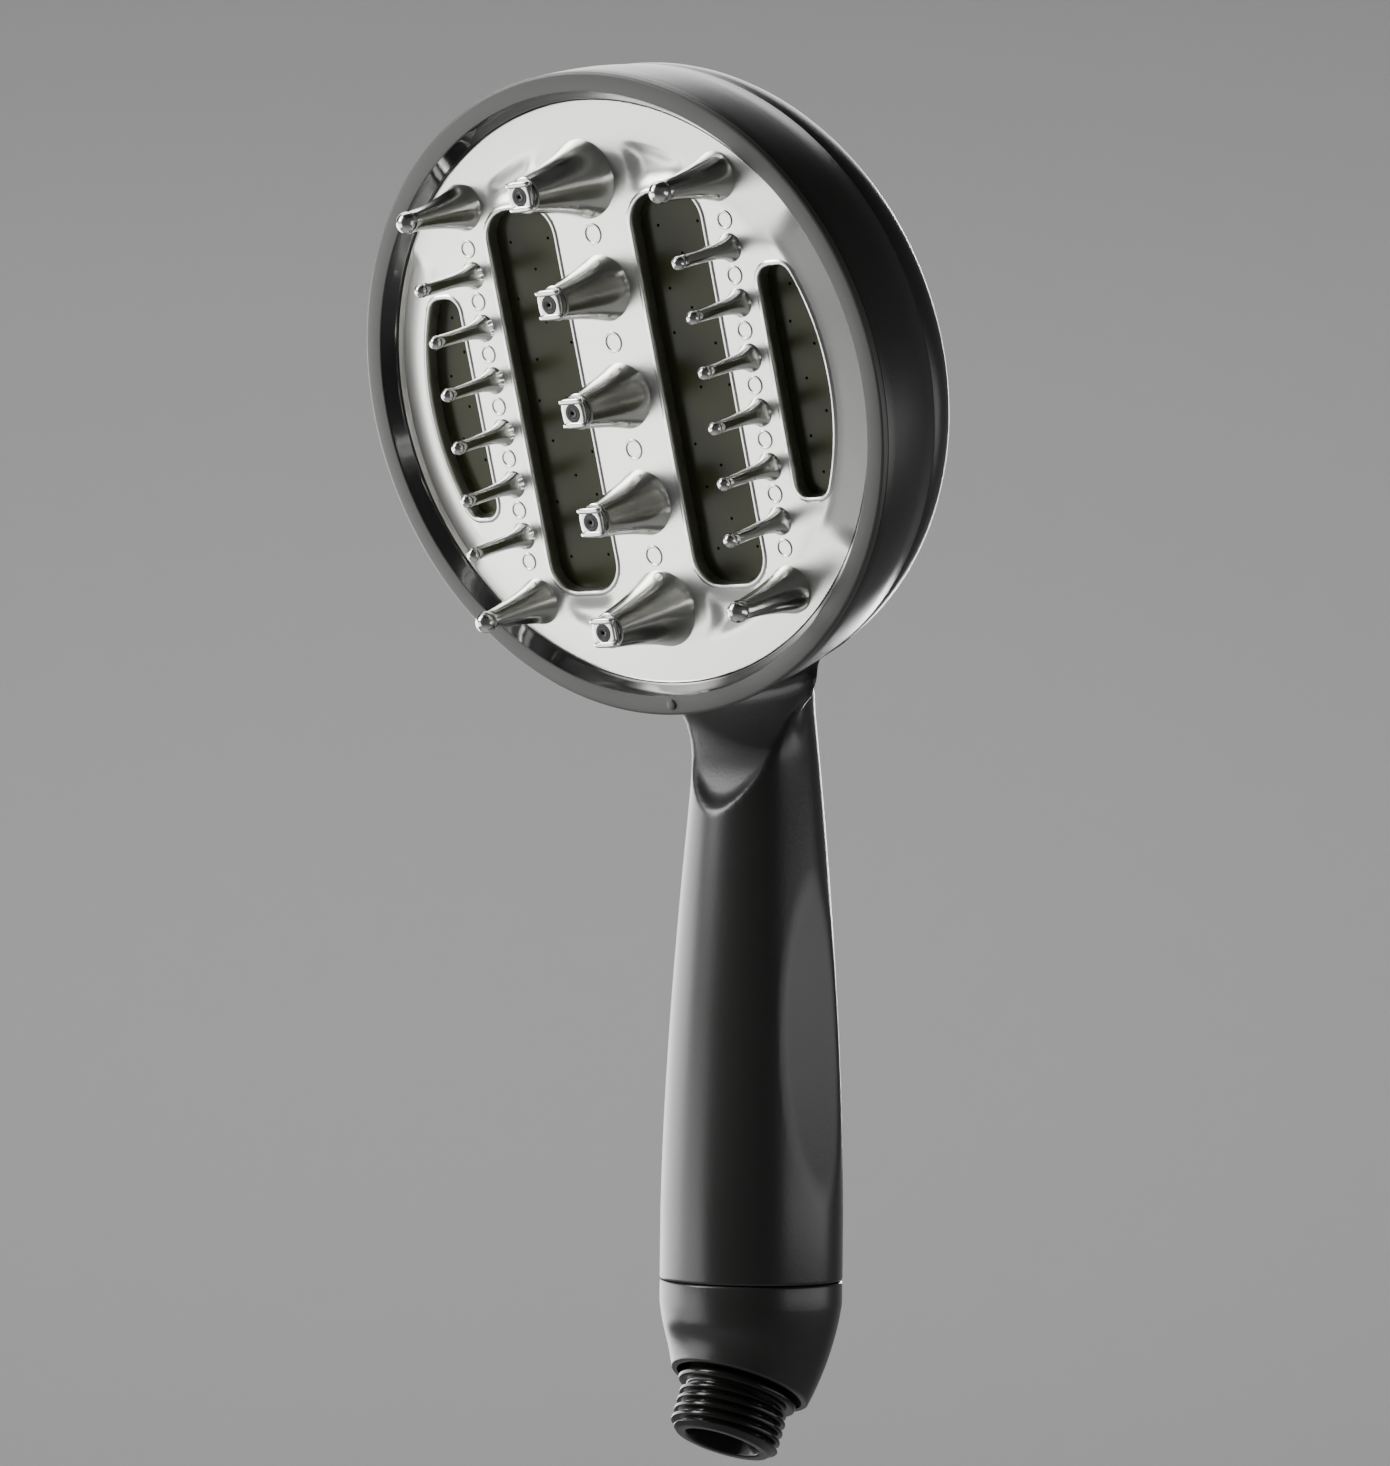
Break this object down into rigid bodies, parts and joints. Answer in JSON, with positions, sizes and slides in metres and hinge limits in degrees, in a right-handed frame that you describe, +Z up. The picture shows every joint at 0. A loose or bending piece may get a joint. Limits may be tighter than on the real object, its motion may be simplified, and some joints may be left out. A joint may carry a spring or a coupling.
{
  "type": "handheld shower head",
  "caption": "Handheld scalp-massage shower head with a round pinned face, a tapered handle, a twist-off face unit and a screw-off end cap with a leaning hose thread.",
  "frame": {"origin": "centre of the hose thread's end face", "axes": "+Z up the handle, the spray face looks towards -Y and tips 17.9 degrees down, +X to the right as the face is seen"},
  "size_m": [0.12, 0.0888, 0.2591],
  "materials": {
    "charcoal_plastic": "satin",
    "bezel_plastic": "semi-gloss",
    "satin_chrome": "satin",
    "pin_chrome": "polished",
    "olive_plastic": "semi-gloss",
    "nozzle_rubber": "matte",
    "black_rubber": "matte",
    "gloss_black": "gloss",
    "natural_plastic": "matte",
    "ivory_plastic": "matte",
    "filter_felt": "matte",
    "steel": "brushed"
  },
  "bodies": {
    "handset": {"handle_shell": "charcoal_plastic", "rear_cover": "charcoal_plastic", "water_body": "natural_plastic", "inlet_elbow": "natural_plastic", "riser_tube": "natural_plastic", "riser_seal": "black_rubber", "body_screws": "steel"},
    "face_unit": {"bezel_ring": "bezel_plastic", "massage_plate": "satin_chrome", "spray_plate": "olive_plastic", "plate_gasket": "black_rubber", "nozzle_manifold": "natural_plastic", "manifold_screws": "steel", "face_seal": "black_rubber", "pin_seals": "black_rubber", "nozzle_pin_1": "pin_chrome", "nozzle_pin_2": "pin_chrome", "nozzle_pin_3": "pin_chrome", "nozzle_pin_4": "pin_chrome", "nozzle_pin_5": "pin_chrome", "nozzle_insert_1": "nozzle_rubber", "nozzle_insert_2": "nozzle_rubber", "nozzle_insert_3": "nozzle_rubber", "nozzle_insert_4": "nozzle_rubber", "nozzle_insert_5": "nozzle_rubber", "corner_pin_1": "pin_chrome", "corner_pin_2": "pin_chrome", "corner_pin_3": "pin_chrome", "corner_pin_4": "pin_chrome", "side_pins_left": "pin_chrome", "side_pins_right": "pin_chrome"},
    "filter_cartridge": {"cartridge_case": "natural_plastic", "cartridge_top": "natural_plastic", "cartridge_base": "natural_plastic", "filter_media": "filter_felt", "cartridge_seal": "black_rubber"},
    "end_cap_unit": {"end_cap": "charcoal_plastic", "hose_connector": "gloss_black", "inlet_screen": "steel", "flow_regulator": "ivory_plastic", "cap_seal": "black_rubber"}
  },
  "joints": [
    {"name": "face_twist", "type": "hinge", "parent": "handset", "child": "face_unit", "pos_m": [0, -0.03241, 0.1937], "axis": [0, -0.9516, -0.3074], "range_deg": [0, 40]},
    {"name": "cartridge_travel", "type": "slide", "parent": "handset", "child": "filter_cartridge", "axis": [0, 0, -1], "range_m": [0, 0.009]},
    {"name": "cap_turn", "type": "hinge", "parent": "filter_cartridge", "child": "end_cap_unit", "pos_m": [0, 0.0083, 0.0302], "axis": [0, 0, -1], "range_deg": [0, 1080]}
  ],
  "couplings": [
    {"joint": "cap_turn", "follows": "cartridge_travel", "rad_per_m": 2094.4}
  ]
}
